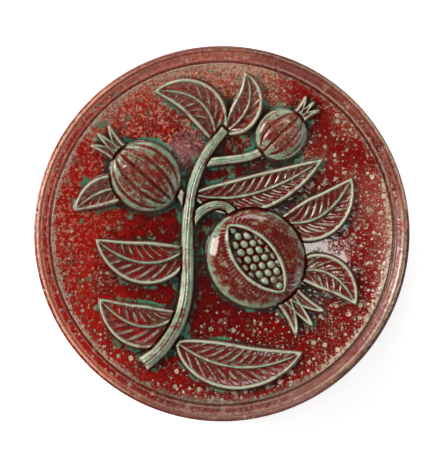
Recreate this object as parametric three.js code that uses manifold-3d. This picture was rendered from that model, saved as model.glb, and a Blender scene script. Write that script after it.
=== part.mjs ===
// A large round stoneware dish with a coiled foot, decorated in high relief: a pomegranate bough whose
// stems, leaves and fruit are modelled separately and luted to the thrown dish with slip.
// Millimetres, +Z up. The origin is the middle of the foot's resting plane, and +Y is the top of the relief.
import * as THREE from "three";
import { mergeVertices } from "three/addons/utils/BufferGeometryUtils.js";
import Module from "manifold-3d";

const wasm = await Module();
wasm.setup();

// Driving dimensions
const dishRadius = 195;
const fieldRadius = 178; // the relief field ends at the deep groove of the rim
const clayThickness = 11;
const rimThickness = 8.2;
const centreClearance = 5; // under the middle of the dish, above the table
const bowlCurve = 0.0006; // the face rises as curve * r^2 + flare * r^4
const bowlFlare = 1.2e-8;
const rimSlope = 0.3;
const lipRadius = 2.6;
const footRadius = 117; // to the middle of the foot's wall
const footWall = 13;
const footBevel = 2.2;
const hangingHole = { radius: 2.2, height: 7, aside: 13, sides: 12 }; // aside is degrees from the top
const slipJoint = 0.3; // the layer of slip between two luted pieces
const wheelSteps = 68; // facets round everything that is thrown

// The thrown face: how high its surface is above the table, r from the middle
function faceHeight(r) {
  return centreClearance + clayThickness + bowlCurve * r ** 2 + bowlFlare * r ** 4;
}

function rimHeight(r) {
  return faceHeight(fieldRadius) + rimSlope * (r - fieldRadius);
}

function undersideHeight(r) {
  if (r > fieldRadius) return rimHeight(r) - rimThickness;
  const thinned = (clayThickness - rimThickness) * (r / fieldRadius) ** 2;
  return faceHeight(r) - clayThickness + thinned;
}

// Solids: three.js geometries in, manifold-3d for the cuts and joins

function toSolid(geometry) {
  const bare = geometry.clone();
  bare.deleteAttribute("normal");
  bare.deleteAttribute("uv");
  const merged = mergeVertices(bare, 1e-4);
  const corners = merged.index.array;
  const kept = [];
  for (let i = 0; i < corners.length; i += 3) {
    const [a, b, c] = corners.slice(i, i + 3);
    if (a !== b && b !== c && c !== a) kept.push(a, b, c);
  }
  const solid = new wasm.Manifold(
    new wasm.Mesh({
      numProp: 3,
      vertProperties: merged.attributes.position.array,
      triVerts: new Uint32Array(kept),
    }),
  );
  return solid;
}

function toGeometry(solid) {
  const mesh = solid.getMesh();
  const geometry = new THREE.BufferGeometry();
  geometry.setAttribute("position", new THREE.BufferAttribute(new Float32Array(mesh.vertProperties), 3));
  geometry.setIndex(new THREE.BufferAttribute(new Uint32Array(mesh.triVerts), 1));
  geometry.computeVertexNormals();
  return geometry;
}

// What is left of a piece once the scraps that a neighbour cuts free are thrown away
function mainBody(solid) {
  return solid.decompose().reduce((most, body) => (body.volume() > most.volume() ? body : most));
}

function facetedGeometry(points, triangles) {
  const geometry = new THREE.BufferGeometry();
  geometry.setAttribute("position", new THREE.Float32BufferAttribute(points.flatMap((p) => p.toArray()), 3));
  geometry.setIndex(triangles.flat());
  return geometry;
}

// Thrown on the wheel: a profile of [radius, height] points turned about Z

function thrown(profile) {
  const points = profile.map(([r, z]) => new THREE.Vector2(r, z));
  return new THREE.LatheGeometry(points, wheelSteps).rotateX(Math.PI / 2);
}

function dishBody() {
  const underside = [0, 45, 84, 113, 136, 157, 175, 187].map((r) => [r, undersideHeight(r)]);
  const outerEdge = [
    [192.4, undersideHeight(190) + 1.6],
    [194.5, rimHeight(dishRadius) - 5.2],
  ];
  const lipMiddle = [dishRadius - lipRadius, rimHeight(dishRadius - lipRadius)];
  const lip = [0, 36, 72, 108, 144].map((degrees) => {
    const turn = THREE.MathUtils.degToRad(degrees);
    return [lipMiddle[0] + lipRadius * Math.cos(turn), lipMiddle[1] + lipRadius * Math.sin(turn)];
  });
  // [radius, rise above the plain flange]: a fine groove under the lip, a bead, a band, a raised edge and
  // the deep groove round the field
  const mouldings = [
    [189.8, -0.3],
    [189, 0.7],
    [187.6, 1],
    [186, 0],
    [182.4, 0.1],
    [181.2, 0.8],
    [180.3, 0],
    [179.4, -1.7],
    [178.2, -1.6],
  ].map(([r, rise]) => [r, rimHeight(r) + rise]);
  const field = [177.2, 169, 156, 140, 122, 101, 76, 46, 18, 0].map((r) => [r, faceHeight(r)]);
  return thrown([...underside, ...outerEdge, ...lip, ...mouldings, ...field]);
}

function footRing() {
  const inner = footRadius - footWall / 2;
  const outer = footRadius + footWall / 2;
  const top = (r) => undersideHeight(r) - slipJoint;
  const ring = thrown([
    [inner + footBevel, 0],
    [outer - footBevel, 0],
    [outer - 0.4, footBevel],
    [outer, top(outer)],
    [footRadius, top(footRadius)],
    [inner, top(inner)],
    [inner + 0.4, footBevel],
    [inner + footBevel, 0],
  ]);
  let solid = toSolid(ring);
  for (const side of [-1, 1]) {
    const turn = THREE.MathUtils.degToRad(90 + side * hangingHole.aside);
    const drill = new THREE.CylinderGeometry(
      hangingHole.radius,
      hangingHole.radius,
      footWall * 3,
      hangingHole.sides,
    );
    drill.rotateZ(Math.PI / 2);
    drill.rotateZ(turn);
    drill.translate(footRadius * Math.cos(turn), footRadius * Math.sin(turn), hangingHole.height);
    solid = solid.subtract(toSolid(drill));
  }
  return toGeometry(solid);
}

// Relief pieces: each one sits on the curved face on its layer of slip

function onFace(x, y, rise) {
  return new THREE.Vector3(x, y, faceHeight(Math.hypot(x, y)) + slipJoint + rise);
}

// A plan point given along and across an axis that starts at origin and points at degrees
function planPoint(origin, degrees, along, across) {
  const turn = THREE.MathUtils.degToRad(degrees);
  const [c, s] = [Math.cos(turn), Math.sin(turn)];
  return [origin[0] + along * c - across * s, origin[1] + along * s + across * c];
}

function bend(...points) {
  const [a, b, c, d] = points.map(([x, y]) => new THREE.Vector3(x, y, 0));
  return d ? new THREE.CubicBezierCurve3(a, b, c, d) : new THREE.QuadraticBezierCurve3(a, b, c);
}

// The plan point at share s of a path's length, moved across to its left
function besidePath(path, s, across) {
  const point = path.getPointAt(s);
  const ahead = path.getTangentAt(s);
  return [point.x - ahead.y * across, point.y + ahead.x * across];
}

function shares(steps) {
  return Array.from({ length: steps + 1 }, (_, i) => i / steps);
}

// A strip of clay laid along a path. section(halfWidth, s) gives half a section from its left foot to its
// middle as [across, rise], and the other half mirrors it.
function strip({ path, steps, halfWidth, section }) {
  const rings = shares(steps).map((s) => {
    const left = section(halfWidth(s), s);
    const right = left.slice(0, -1).reverse().map(([across, rise]) => [-across, rise]);
    return [[0, 0], ...left, ...right].map(([across, rise]) => ({ across, rise, s }));
  });
  const points = rings.flat().map(({ across, rise, s }) => onFace(...besidePath(path, s, across), rise));
  const count = rings[0].length;
  const triangles = [];
  for (let ring = 0; ring < steps; ring++) {
    for (let i = 0; i < count; i++) {
      const [a, b] = [ring * count + i, ring * count + ((i + 1) % count)];
      triangles.push([a, b, a + count], [b, b + count, a + count]);
    }
  }
  for (const ring of [0, steps]) {
    const outline = rings[ring].map(({ across, rise }) => new THREE.Vector2(across, rise));
    const cap = THREE.ShapeUtils.triangulateShape(outline, []);
    for (const [a, b, c] of cap) {
      const corner = [a, b, c].map((i) => ring * count + i);
      triangles.push(ring === 0 ? corner.reverse() : corner);
    }
  }
  return facetedGeometry(points, triangles);
}

// The outline of a strip in plan, grown by the slip joint
function stripOutline({ path, steps, halfWidth }) {
  const side = (sign) => shares(steps).map((s) => besidePath(path, s, sign * (halfWidth(s) + slipJoint)));
  return [...side(1), ...side(-1).reverse()];
}

// An upright cutter over an outline, to trim whatever tucks under that piece
function trimmer(outline) {
  const shape = new THREE.Shape(outline.map(([x, y]) => new THREE.Vector2(x, y)));
  return toSolid(new THREE.ExtrudeGeometry(shape, { depth: 100, bevelEnabled: false }).translate(0, 0, -10));
}

// Leaves: a raised rim round a sunk blade, and a midrib
const leafRim = 2.6; // from the edge to the crest of the rim
const leafRimFoot = 4.6;
const midribHalf = 3.2;
const petioleHalf = 4;

function leafHalfWidth(width) {
  const blade = (s) => (width / 2) * Math.sin(Math.PI * s ** 0.82) ** 0.75 || 0;
  return (s) => Math.max(blade(s), petioleHalf * (1 - s) + 0.5);
}

function leafRise(height, s) {
  return height * (0.55 + 0.45 * Math.sin(Math.PI * (0.85 * s + 0.12)));
}

function leafPiece({ from, over, to, width, height = 9 }) {
  const plan = { path: bend(from, over, to), steps: 9, halfWidth: leafHalfWidth(width) };
  const section = (half, s) => {
    const rise = leafRise(height, s);
    return [
      [half, 0],
      [half, 0.35 * rise],
      [Math.max(half - 1, half * 0.82), 0.72 * rise],
      [Math.max(half - leafRim, half * 0.64), rise],
      [Math.max(half - leafRimFoot, half * 0.46), 0.62 * rise],
      [Math.min(midribHalf, half * 0.28), 0.6 * rise],
      [0, 0.95 * rise],
    ];
  };
  return { solid: toSolid(strip({ ...plan, section })), outlines: [stripOutline(plan)] };
}

function stemPiece({ path, halfWidths, heights, steps }) {
  const halfWidth = (s) => THREE.MathUtils.lerp(...halfWidths, s);
  const plan = { path: bend(...path), steps, halfWidth };
  const section = (half, s) => {
    const rise = THREE.MathUtils.lerp(...heights, s);
    return [
      [half, 0],
      [half, 0.42 * rise],
      [0.7 * half, 0.84 * rise],
      [0, rise],
    ];
  };
  return { solid: toSolid(strip({ ...plan, section })), outlines: [stripOutline(plan)] };
}

// Fruit: a half ball, a little longer than wide, with creases that run from stem to crown
const fruitStretch = 1.06;
const creaseDepth = 2.4;

function fruitRise(height, share) {
  return height * (1 - Math.min(share, 1) ** 3.2) ** 0.42;
}

function fruitOutline({ centre, radius, crownAt }, grow) {
  return shares(40).slice(0, -1).map((s) => {
    const turn = 2 * Math.PI * s;
    const along = (radius * fruitStretch + grow) * Math.cos(turn);
    return planPoint(centre, crownAt, along, (radius + grow) * Math.sin(turn));
  });
}

function fruitBall({ centre, radius, crownAt, height, creases }) {
  const rows = 12;
  const columns = 2 * (creases || 6);
  const top = [];
  const bottom = [];
  for (let row = 0; row <= rows; row++) {
    const latitude = Math.PI * (row / rows - 0.5);
    for (let column = 0; column <= columns; column++) {
      const longitude = Math.PI * (column / columns - 0.5);
      const along = radius * Math.sin(latitude);
      const across = radius * Math.cos(latitude) * Math.sin(longitude);
      const share = Math.hypot(along, across) / radius;
      const inCrease = creases && (column - creases) % 2 === 0;
      const rise = share > 0.999 ? 0 : fruitRise(height, share) - (inCrease ? creaseDepth : 0);
      const plan = planPoint(centre, crownAt, along * fruitStretch, across);
      top.push(onFace(...plan, rise));
      bottom.push(onFace(...plan, 0));
    }
  }
  const triangles = [];
  const across = columns + 1;
  for (let row = 0; row < rows; row++) {
    for (let column = 0; column < columns; column++) {
      const a = row * across + column;
      const [b, c, d] = [a + 1, a + across, a + across + 1];
      triangles.push([a, c, b], [b, c, d]);
      const under = [a, b, c, d].map((i) => i + top.length);
      triangles.push([under[0], under[1], under[2]], [under[1], under[3], under[2]]);
    }
  }
  return toSolid(facetedGeometry([...top, ...bottom], triangles));
}

function fruitPiece(fruit) {
  return { solid: fruitBall(fruit), outlines: [fruitOutline(fruit, slipJoint)] };
}

// The split fruit is torn open along its axis, with a rolled lip round the tear and the seeds bedded in it
const tearHalfLength = 40;
const tearHalfWidth = 19;
const tearLip = { out: 1.6, half: 2.1, rise: 2.2 };
const seed = { across: 4.5, along: 5, rise: 5.2, spacing: 9.2 };

function tearHalfAt(along) {
  return tearHalfWidth * Math.max(1 - (along / tearHalfLength) ** 2, 0) ** 0.75;
}

// Points round the tear, grown outward, as [along, across]
function tearLoop(grow, steps) {
  return shares(steps).slice(0, -1).map((s) => {
    const turn = 2 * Math.PI * s;
    const along = tearHalfLength * Math.cos(turn);
    const across = tearHalfAt(along) * Math.sign(Math.sin(turn));
    return [along + grow * Math.cos(turn), across + grow * Math.sin(turn)];
  });
}

function tornHusk(fruit) {
  const steps = 32;
  const round = [
    [-tearLip.half, -0.9],
    [-0.6 * tearLip.half, 0.7 * tearLip.rise],
    [0, tearLip.rise],
    [0.6 * tearLip.half, 0.7 * tearLip.rise],
    [tearLip.half, -0.9],
    [0, -3],
  ];
  const points = [];
  const rings = round.map(([out]) => tearLoop(tearLip.out + out, steps));
  for (let i = 0; i < steps; i++) {
    round.forEach(([, rise], k) => {
      const [along, across] = rings[k][i];
      const share = Math.hypot(along, across) / fruit.radius;
      const plan = planPoint(fruit.centre, fruit.crownAt, along * fruitStretch, across);
      points.push(onFace(...plan, fruitRise(fruit.height, share) + rise));
    });
  }
  const triangles = [];
  const count = round.length;
  for (let i = 0; i < steps; i++) {
    for (let k = 0; k < count; k++) {
      const [a, b] = [i * count + k, i * count + ((k + 1) % count)];
      const [c, d] = [a, b].map((n) => (n + count) % points.length);
      triangles.push([a, b, c], [b, d, c]);
    }
  }
  const lip = toSolid(facetedGeometry(points, triangles));
  const tear = tearLoop(0, 28).map(([along, across]) =>
    planPoint(fruit.centre, fruit.crownAt, along * fruitStretch, across),
  );
  return {
    solid: fruitBall(fruit).add(lip).subtract(trimmer(tear)),
    outlines: [fruitOutline(fruit, slipJoint)],
  };
}

function seedBed(fruit) {
  const bedRise = 0.55 * fruit.height;
  const end = tearHalfLength * fruitStretch - 1.5;
  const path = new THREE.LineCurve3(
    new THREE.Vector3(...planPoint(fruit.centre, fruit.crownAt, -end, 0), 0),
    new THREE.Vector3(...planPoint(fruit.centre, fruit.crownAt, end, 0), 0),
  );
  const halfWidth = (s) => Math.max(tearHalfAt(((2 * s - 1) * end) / fruitStretch) - 2 * slipJoint, 0.4);
  const section = (half) => [
    [half, 0],
    [half, bedRise],
    [0, bedRise],
  ];
  let bed = toSolid(strip({ path, steps: 14, halfWidth, section }));
  for (const [along, across] of seedPlaces()) {
    const [x, y] = planPoint(fruit.centre, fruit.crownAt, along * fruitStretch, across);
    const grain = new THREE.SphereGeometry(1, 6, 4);
    grain.scale(seed.along, seed.across, seed.rise);
    grain.rotateZ(THREE.MathUtils.degToRad(fruit.crownAt));
    const place = onFace(x, y, bedRise);
    grain.translate(place.x, place.y, place.z);
    bed = bed.add(toSolid(grain));
  }
  const room = tearLoop(-slipJoint, 28).map(([along, across]) =>
    planPoint(fruit.centre, fruit.crownAt, along * fruitStretch, across),
  );
  const underneath = toSolid(strip({ path, steps: 14, halfWidth: (s) => halfWidth(s) + 9, section }));
  return { solid: bed.intersect(trimmer(room)).subtract(underneath.translate(0, 0, -bedRise)), outlines: [] };
}

// Seeds lie in offset rows, wherever a whole one fits the tear
function seedPlaces() {
  const places = [];
  const reach = Math.ceil(tearHalfLength / seed.spacing);
  for (let row = -2; row <= 2; row++) {
    for (let place = -reach; place <= reach; place++) {
      const along = (place + (row % 2 ? 0.5 : 0)) * seed.spacing;
      const across = row * seed.spacing * 0.87;
      const room = tearHalfAt(along) - Math.abs(across);
      if (Math.abs(along) < tearHalfLength - 3 && room > 2.2) places.push([along, across]);
    }
  }
  return places;
}

function crownPiece({ centre, radius, crownAt }, size) {
  const sepals = [-34, 34, 0].map((spread) => {
    const base = planPoint(centre, crownAt, radius * fruitStretch * 0.92, Math.sign(spread) * size * 0.18);
    const middle = planPoint(base, crownAt, size * 0.5, 0);
    const tip = planPoint(planPoint(base, crownAt, size * 0.55, 0), crownAt + spread, size * 0.7, 0);
    const plan = {
      path: bend(base, middle, tip),
      steps: 5,
      halfWidth: (s) => size * 0.23 * (1 - s) ** 0.6 + 0.9,
    };
    const section = (half, s) => {
      const rise = 9 - 2 * s;
      return [
        [half, 0],
        [half, 0.45 * rise],
        [Math.max(half - 2.2, half * 0.55), rise],
        [0, 0.68 * rise],
      ];
    };
    return { solid: toSolid(strip({ ...plan, section })), outline: stripOutline(plan) };
  });
  return {
    solid: sepals.map((s) => s.solid).reduce((whole, sepal) => whole.add(sepal)),
    outlines: sepals.map((s) => s.outline),
  };
}

// Placing the bough

const splitFruit = { centre: [36, -26], radius: 51, crownAt: -50, height: 18 };
const roundFruit = { centre: [-80, 60], radius: 36, crownAt: 138, height: 15, creases: 7 };
const smallFruit = { centre: [62, 104], radius: 26, crownAt: 44, height: 12, creases: 6 };

const leaves = {
  leaf_lower_right: { from: [-47, -114], over: [14, -160], to: [84, -124], width: 48 },
  leaf_lower_left: { from: [-44, -84], over: [-84, -118], to: [-128, -68], width: 46 },
  leaf_middle_left: { from: [-37, -16], over: [-80, -50], to: [-132, -6], width: 46 },
  leaf_right: { from: [60, 14], over: [108, 0], to: [136, 58], width: 46 },
  leaf_right_low: { from: [74, -42], over: [118, -26], to: [140, -74], width: 38 },
  leaf_middle_right: { from: [-31, 42], over: [28, 24], to: [106, 78], width: 40 },
  leaf_top: { from: [3, 106], over: [42, 132], to: [24, 168], width: 32 },
  leaf_top_left: { from: [-6, 96], over: [-8, 154], to: [-70, 148], width: 40 },
  leaf_far_left: { from: [-92, 46], over: [-124, 54], to: [-154, 24], width: 32 },
};

const stems = {
  branch_to_split_fruit: {
    path: [[-36, 2], [-26, 34], [8, 40], [14, 16]],
    halfWidths: [5.4, 5],
    heights: [10, 10],
    steps: 8,
  },
  branch_to_round_fruit: {
    path: [[-36, -2], [-32, 28], [-40, 46], [-60, 52]],
    halfWidths: [5.4, 4.6],
    heights: [10, 9],
    steps: 6,
  },
  branch_to_small_fruit: {
    path: [[-20, 74], [4, 80], [32, 74], [50, 94]],
    halfWidths: [4.8, 4.2],
    heights: [10, 9],
    steps: 7,
  },
  main_stem: {
    path: [[-82, -136], [10, -70], [-80, 22], [4, 110]],
    halfWidths: [8, 5],
    heights: [12, 9],
    steps: 16,
  },
};

// From the piece laid first to the piece laid last: each is trimmed round all that lie over it
const laid = [
  ...Object.entries(leaves).map(([name, leaf]) => [name, leafPiece(leaf)]),
  ...Object.entries(stems).map(([name, stem]) => [name, stemPiece(stem)]),
  ["split_fruit_crown", crownPiece(splitFruit, 34)],
  ["round_fruit_crown", crownPiece(roundFruit, 25)],
  ["small_fruit_crown", crownPiece(smallFruit, 18)],
  ["split_fruit", tornHusk(splitFruit)],
  ["round_fruit", fruitPiece(roundFruit)],
  ["small_fruit", fruitPiece(smallFruit)],
  ["seed_cluster", seedBed(splitFruit)],
];

const oxblood = new THREE.MeshStandardMaterial({ color: 0x7a1013, roughness: 0.16 });
const reliefGlaze = new THREE.MeshStandardMaterial({ color: 0x8c3a34, roughness: 0.18 });
const paleGlaze = new THREE.MeshStandardMaterial({ color: 0xa39f86, roughness: 0.2 });
const bareStoneware = new THREE.MeshStandardMaterial({ color: 0x8f7560, roughness: 0.85 });

function named(name, geometry, material) {
  const mesh = new THREE.Mesh(geometry, material);
  mesh.name = name;
  return mesh;
}

const dish = new THREE.Group();
dish.add(named("dish_body", dishBody(), oxblood));
dish.add(named("foot_ring", footRing(), bareStoneware));
laid.forEach(([name, piece], order) => {
  let solid = piece.solid;
  for (const [, above] of laid.slice(order + 1)) {
    for (const outline of above.outlines) solid = solid.subtract(trimmer(outline));
  }
  dish.add(named(name, toGeometry(mainBody(solid)), name === "seed_cluster" ? paleGlaze : reliefGlaze));
});

export default dish;
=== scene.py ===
import math

import bmesh
import bpy
import numpy as np
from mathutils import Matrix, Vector


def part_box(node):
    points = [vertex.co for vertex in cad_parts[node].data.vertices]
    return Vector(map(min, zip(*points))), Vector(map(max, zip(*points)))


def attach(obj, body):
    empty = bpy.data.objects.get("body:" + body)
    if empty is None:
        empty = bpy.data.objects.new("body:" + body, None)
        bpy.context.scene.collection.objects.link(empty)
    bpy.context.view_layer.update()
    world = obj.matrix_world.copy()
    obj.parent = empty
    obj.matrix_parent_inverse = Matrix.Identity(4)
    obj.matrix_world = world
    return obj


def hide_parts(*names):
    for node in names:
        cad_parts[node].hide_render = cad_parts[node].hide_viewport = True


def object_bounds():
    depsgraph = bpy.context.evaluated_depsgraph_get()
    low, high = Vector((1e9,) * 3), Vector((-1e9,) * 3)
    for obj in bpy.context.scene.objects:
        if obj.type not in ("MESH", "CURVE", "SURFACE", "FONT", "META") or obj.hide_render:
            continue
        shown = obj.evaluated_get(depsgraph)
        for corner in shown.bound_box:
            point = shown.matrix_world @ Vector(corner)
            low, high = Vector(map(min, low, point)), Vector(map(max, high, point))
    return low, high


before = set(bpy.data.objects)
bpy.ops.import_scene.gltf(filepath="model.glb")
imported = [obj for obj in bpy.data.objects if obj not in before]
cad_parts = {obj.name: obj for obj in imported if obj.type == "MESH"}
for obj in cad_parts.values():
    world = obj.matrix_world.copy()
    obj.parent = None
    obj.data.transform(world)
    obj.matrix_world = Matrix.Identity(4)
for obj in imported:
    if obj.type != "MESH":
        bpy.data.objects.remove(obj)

cadLow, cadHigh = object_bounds()
mm = 0.001  # the forms below are worked out in millimetres, and their meshes are written in metres
dice = np.random.default_rng(7)


# Small tools

def soften(low, high, x):
    t = np.clip((x - low) / (high - low), 0, 1)
    return t * t * (3 - 2 * t)


def bell(size, step):
    reach = int(3 * size / step)
    weights = np.exp(-0.5 * (np.arange(-reach, reach + 1) * step / size) ** 2)
    return weights / weights.sum()


def softProfile(knots, blur):
    # a line through the knots with its corners rubbed round; blur is in millimetres
    x, y = np.array(knots, float).T
    step = 0.04
    fine = np.arange(x[0] - 4 * blur, x[-1] + 4 * blur, step)
    weights = bell(blur, step)
    padded = np.pad(np.interp(fine, x, y), len(weights) // 2, mode="edge")
    line = np.convolve(padded, weights, mode="valid")
    return lambda at: np.interp(at, fine, line)


def fullTurn(count):
    return np.linspace(0, 2 * math.pi, count, endpoint=False)[None, :]


def denser(grid, times):
    for axis in (0, 1):
        count = grid.shape[axis]
        at = np.linspace(0, count - 1, (count - 1) * times + 1)
        low = np.minimum(at.astype(int), count - 2)
        share = at - low
        share = share[:, None] if axis == 0 else share[None, :]
        grid = np.take(grid, low, axis) * (1 - share) + np.take(grid, low + 1, axis) * share
    return grid


# The thrown dish: the same curves as the solid's

dish = {
    "radius": cadHigh.x / mm,
    "fieldRadius": 178.0,  # where the field meets the deep groove
    "clay": 11.0,
    "rimClay": 8.2,
    "clearance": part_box("dish_body")[0].z / mm,
    "bowlCurve": 0.0006,
    "bowlFlare": 1.2e-8,
    "rimSlope": 0.3,
    "lipRadius": 2.6,
    "ringsAside": 0.8,  # how far the bead and the lip lie off the middle
    "segments": 372,
    "faceStep": 1.3,
    "rimStep": 0.42,
    "backStep": 5.0,
}


def faceHeight(r):
    return dish["clearance"] + dish["clay"] + dish["bowlCurve"] * r**2 + dish["bowlFlare"] * r**4


def rimHeight(r):
    return faceHeight(dish["fieldRadius"]) + dish["rimSlope"] * (r - dish["fieldRadius"])


def ringsAside(r):
    # the edges of the groove and of the lip stay round the middle, and what lies between them moves
    return dish["ringsAside"] * soften(180.5, 186, r) * (1 - soften(192.2, 194.9, r))


def undersideHeight(r):
    field = dish["fieldRadius"]
    thinned = (dish["clay"] - dish["rimClay"]) * (np.minimum(r, field) / field) ** 2
    return np.where(r > field, rimHeight(r) - dish["rimClay"], faceHeight(r) - dish["clay"] + thinned)


# The relief is laid out on a square map of the dish, as heights over its face

reliefMap = {"step": 0.5, "half": 190.0, "gapFill": 0.98}
mapSide = int(2 * reliefMap["half"] / reliefMap["step"]) + 1
heights = np.zeros((mapSide, mapSide))


def mapPlace(x, y):
    return [np.clip((v + reliefMap["half"]) / reliefMap["step"], 0, mapSide - 1.001) for v in (x, y)]


def readMap(field, x, y):
    column, row = mapPlace(x, y)
    i, j = row.astype(int), column.astype(int)
    u, v = row - i, column - j
    low = field[i, j] * (1 - v) + field[i, j + 1] * v
    high = field[i + 1, j] * (1 - v) + field[i + 1, j + 1] * v
    return low * (1 - u) + high * u


def blurMap(field, size):
    waves = np.fft.fftfreq(mapSide, reliefMap["step"])
    pass1 = np.exp(-2 * (math.pi * size * waves) ** 2)
    return np.fft.ifft2(np.fft.fft2(field) * pass1[:, None] * pass1[None, :]).real


def layOnMap(x, y, rise):
    x, y, rise = (denser(grid, 3) for grid in (x, y, rise))
    column, row = (np.round(v).astype(int) for v in mapPlace(x, y))
    laid = np.zeros_like(heights)
    np.maximum.at(laid, (row, column), rise)
    gaps = laid == 0
    for shift in ((0, 1), (0, -1), (1, 0), (-1, 0)):
        beside = np.roll(laid, shift, (0, 1)) * reliefMap["gapFill"]
        laid = np.where(gaps, np.maximum(laid, beside), laid)
    np.maximum(heights, laid, out=heights)


def unevenness(size):
    field = blurMap(dice.standard_normal((mapSide, mapSide)), size)
    return field / field.std()


# Finger-wide swells and a slow warp in the clay: how wide they are, and how high on each form
clayFeel = {"handMarks": 7.0, "slowWarp": 28.0, "onFruit": 0.35, "onDish": 0.05, "warpOnDish": 0.12}
handMarks = unevenness(clayFeel["handMarks"])
slowWarp = unevenness(clayFeel["slowWarp"])


tuck = {"under": 0.6, "blur": 1.3, "share": 0.9, "from": 0.12, "to": 0.72}


def tuckUnder(x, y, rise):
    # clay laid first dips where later pieces lie across it
    over = blurMap((heights > tuck["under"]).astype(float), tuck["blur"])
    return x, y, rise * (1 - tuck["share"] * soften(tuck["from"], tuck["to"], readMap(over, x, y)))


# What every luted piece does at its foot: slip and glaze make a small fillet that runs into the face
footProfile = softProfile(
    [(-2.3, -1.7), (-1.7, -0.5), (-1.2, -0.04), (-0.6, 0.25), (0, 0.8), (1.0, 0.7), (2.4, 0.2), (4, 0)], 0.14
)
footRows = [-2.3, -1.9, -1.5, -1.15, -0.8, -0.5, -0.22]  # mesh rows just outside a piece's outline
edgeRows = footRows + [0, 0.06, 0.16, 0.32, 0.55, 0.85, 1.25, 1.75, 2.4, 3.2, 4.1]  # and inside it
sunk = -3.0  # pieces end inside the clay they sit on

print("forms: leaves, stems and fruit")


def bezier(controls, t):
    # each round puts points between the last round's, and the last two points give the direction
    points = np.repeat(np.array(controls, float)[:, None, :], len(t), axis=1)
    t = t[:, None]
    while len(points) > 2:
        points = points[:-1] * (1 - t) + points[1:] * t
    start, end = points
    ahead = end - start
    return start * (1 - t) + end * t, ahead / np.linalg.norm(ahead, axis=1)[:, None]


def runAlong(points):
    return np.concatenate([[0], np.linalg.norm(np.diff(points, axis=0), axis=1).cumsum()])


def curveRun(controls):
    fine = np.linspace(0, 1, 600)
    return fine, runAlong(bezier(controls, fine)[0])


def alongCurve(controls, distance):
    fine, run = curveRun(controls)
    place, ahead = bezier(controls, np.interp(distance, run, fine))
    beyond = np.minimum(distance, 0) + np.maximum(distance - run[-1], 0)
    return place + ahead * beyond[:, None], ahead


def ribbonGrid(controls, halfWidth, rise, stationStep, halfColumns, wander=0.5):
    # rows run along the curve and past both its ends, columns run across it
    length = curveRun(controls)[1][-1]
    ends = np.array([-2.3, -1.5, -0.8, -0.3, 0.1, 0.5, 1.0])
    distance = np.concatenate([ends, np.arange(1.6, length - 1.3, stationStep), length - ends[::-1]])
    place, ahead = alongCurve(controls, distance)
    half = halfWidth(np.clip(distance / length, 0, 1))[:, None]
    inward = np.linspace(0, 1, halfColumns) ** 1.45
    side = np.concatenate([half - np.array(footRows)[None, :], half * (1 - inward)[None, :]], axis=1)
    across = np.concatenate([side, -side[:, -2::-1]], axis=1)
    normal = np.stack([-ahead[:, 1], ahead[:, 0]], axis=1)
    x = place[:, :1] + normal[:, :1] * across
    y = place[:, 1:] + normal[:, 1:] * across
    beyondEnd = np.minimum(distance, length - distance)[:, None] + 0 * across
    within = np.minimum(half - np.abs(across), beyondEnd)
    out = -np.hypot(np.minimum(half - np.abs(across), 0), np.minimum(beyondEnd, 0))
    edge = np.where(within > 0, within, out)
    edge = edge + wander * 0.3 * readMap(handMarks, x, y) * soften(-0.5, 3, edge)
    share = np.clip(distance / length, 0, 1)[:, None] + 0 * across
    z = rise(edge, across, share, length, half) + footProfile(edge)
    return x, y, z


# Fruit: a half ball that is a little longer than wide

fruitLook = {
    "stretch": 1.06,
    "fullness": 3.2,
    "shoulder": 0.42,
    "crease": 2.3,  # this and the next are for a fruit with a radius of 36 mm
    "lobe": 0.5,
    "creaseWidth": 0.15,
    "segments": 250,
    "rowStep": 1.05,
}

fruits = {
    "split_fruit": {"at": (36, -26), "radius": 51, "crownAt": -50, "height": 18, "creases": 0, "crown": 34},
    "round_fruit": {"at": (-80, 60), "radius": 36, "crownAt": 138, "height": 15, "creases": 7, "crown": 25},
    "small_fruit": {"at": (62, 104), "radius": 26, "crownAt": 44, "height": 12, "creases": 6, "crown": 18},
}


def planPoint(origin, degrees, along, across):
    turn = math.radians(degrees)
    x = origin[0] + along * math.cos(turn) - across * math.sin(turn)
    y = origin[1] + along * math.sin(turn) + across * math.cos(turn)
    return x, y


def fruitRise(fruit, p, q):
    rho = np.hypot(p, q) / fruit["radius"]
    rise = fruit["height"] * np.maximum(1 - rho ** fruitLook["fullness"], 0) ** fruitLook["shoulder"]
    if fruit["creases"]:
        room = np.sqrt(np.maximum(fruit["radius"] ** 2 - p**2, 1))
        turn = np.arcsin(np.clip(q / room, -1, 1)) / math.pi * fruit["creases"]
        fromCrease = 1 - np.abs((turn % 1) - 0.5) * 2
        cut = fruitLook["crease"] * np.exp(-((fromCrease / fruitLook["creaseWidth"]) ** 2))
        depth = cut - fruitLook["lobe"] * soften(fruitLook["creaseWidth"], 0.6, fromCrease)
        rise = rise - depth * soften(1.02, 0.88, rho) * fruit["radius"] / 36
    return rise


def onFruit(fruit, p, q):
    return planPoint(fruit["at"], fruit["crownAt"], p * fruitLook["stretch"], q)


def fruitSkin(fruit, p, q, edge):
    x, y = onFruit(fruit, p, q)
    swell = clayFeel["onFruit"] * readMap(handMarks, x, y) * soften(0, 8, edge)
    return x, y, fruitRise(fruit, p, q) + swell + footProfile(edge)


def domeGrid(fruit):
    radius = fruit["radius"]
    first, last = edgeRows[-1] + 1, radius - 0.6
    inner = np.linspace(first, last, int((last - first) / fruitLook["rowStep"]))
    edge = np.concatenate([edgeRows, inner])[:, None]
    turn = fullTurn(fruitLook["segments"])
    return fruitSkin(fruit, (radius - edge) * np.cos(turn), (radius - edge) * np.sin(turn), edge)


# The split fruit is torn open along its axis, and its seeds lie in the tear

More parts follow.
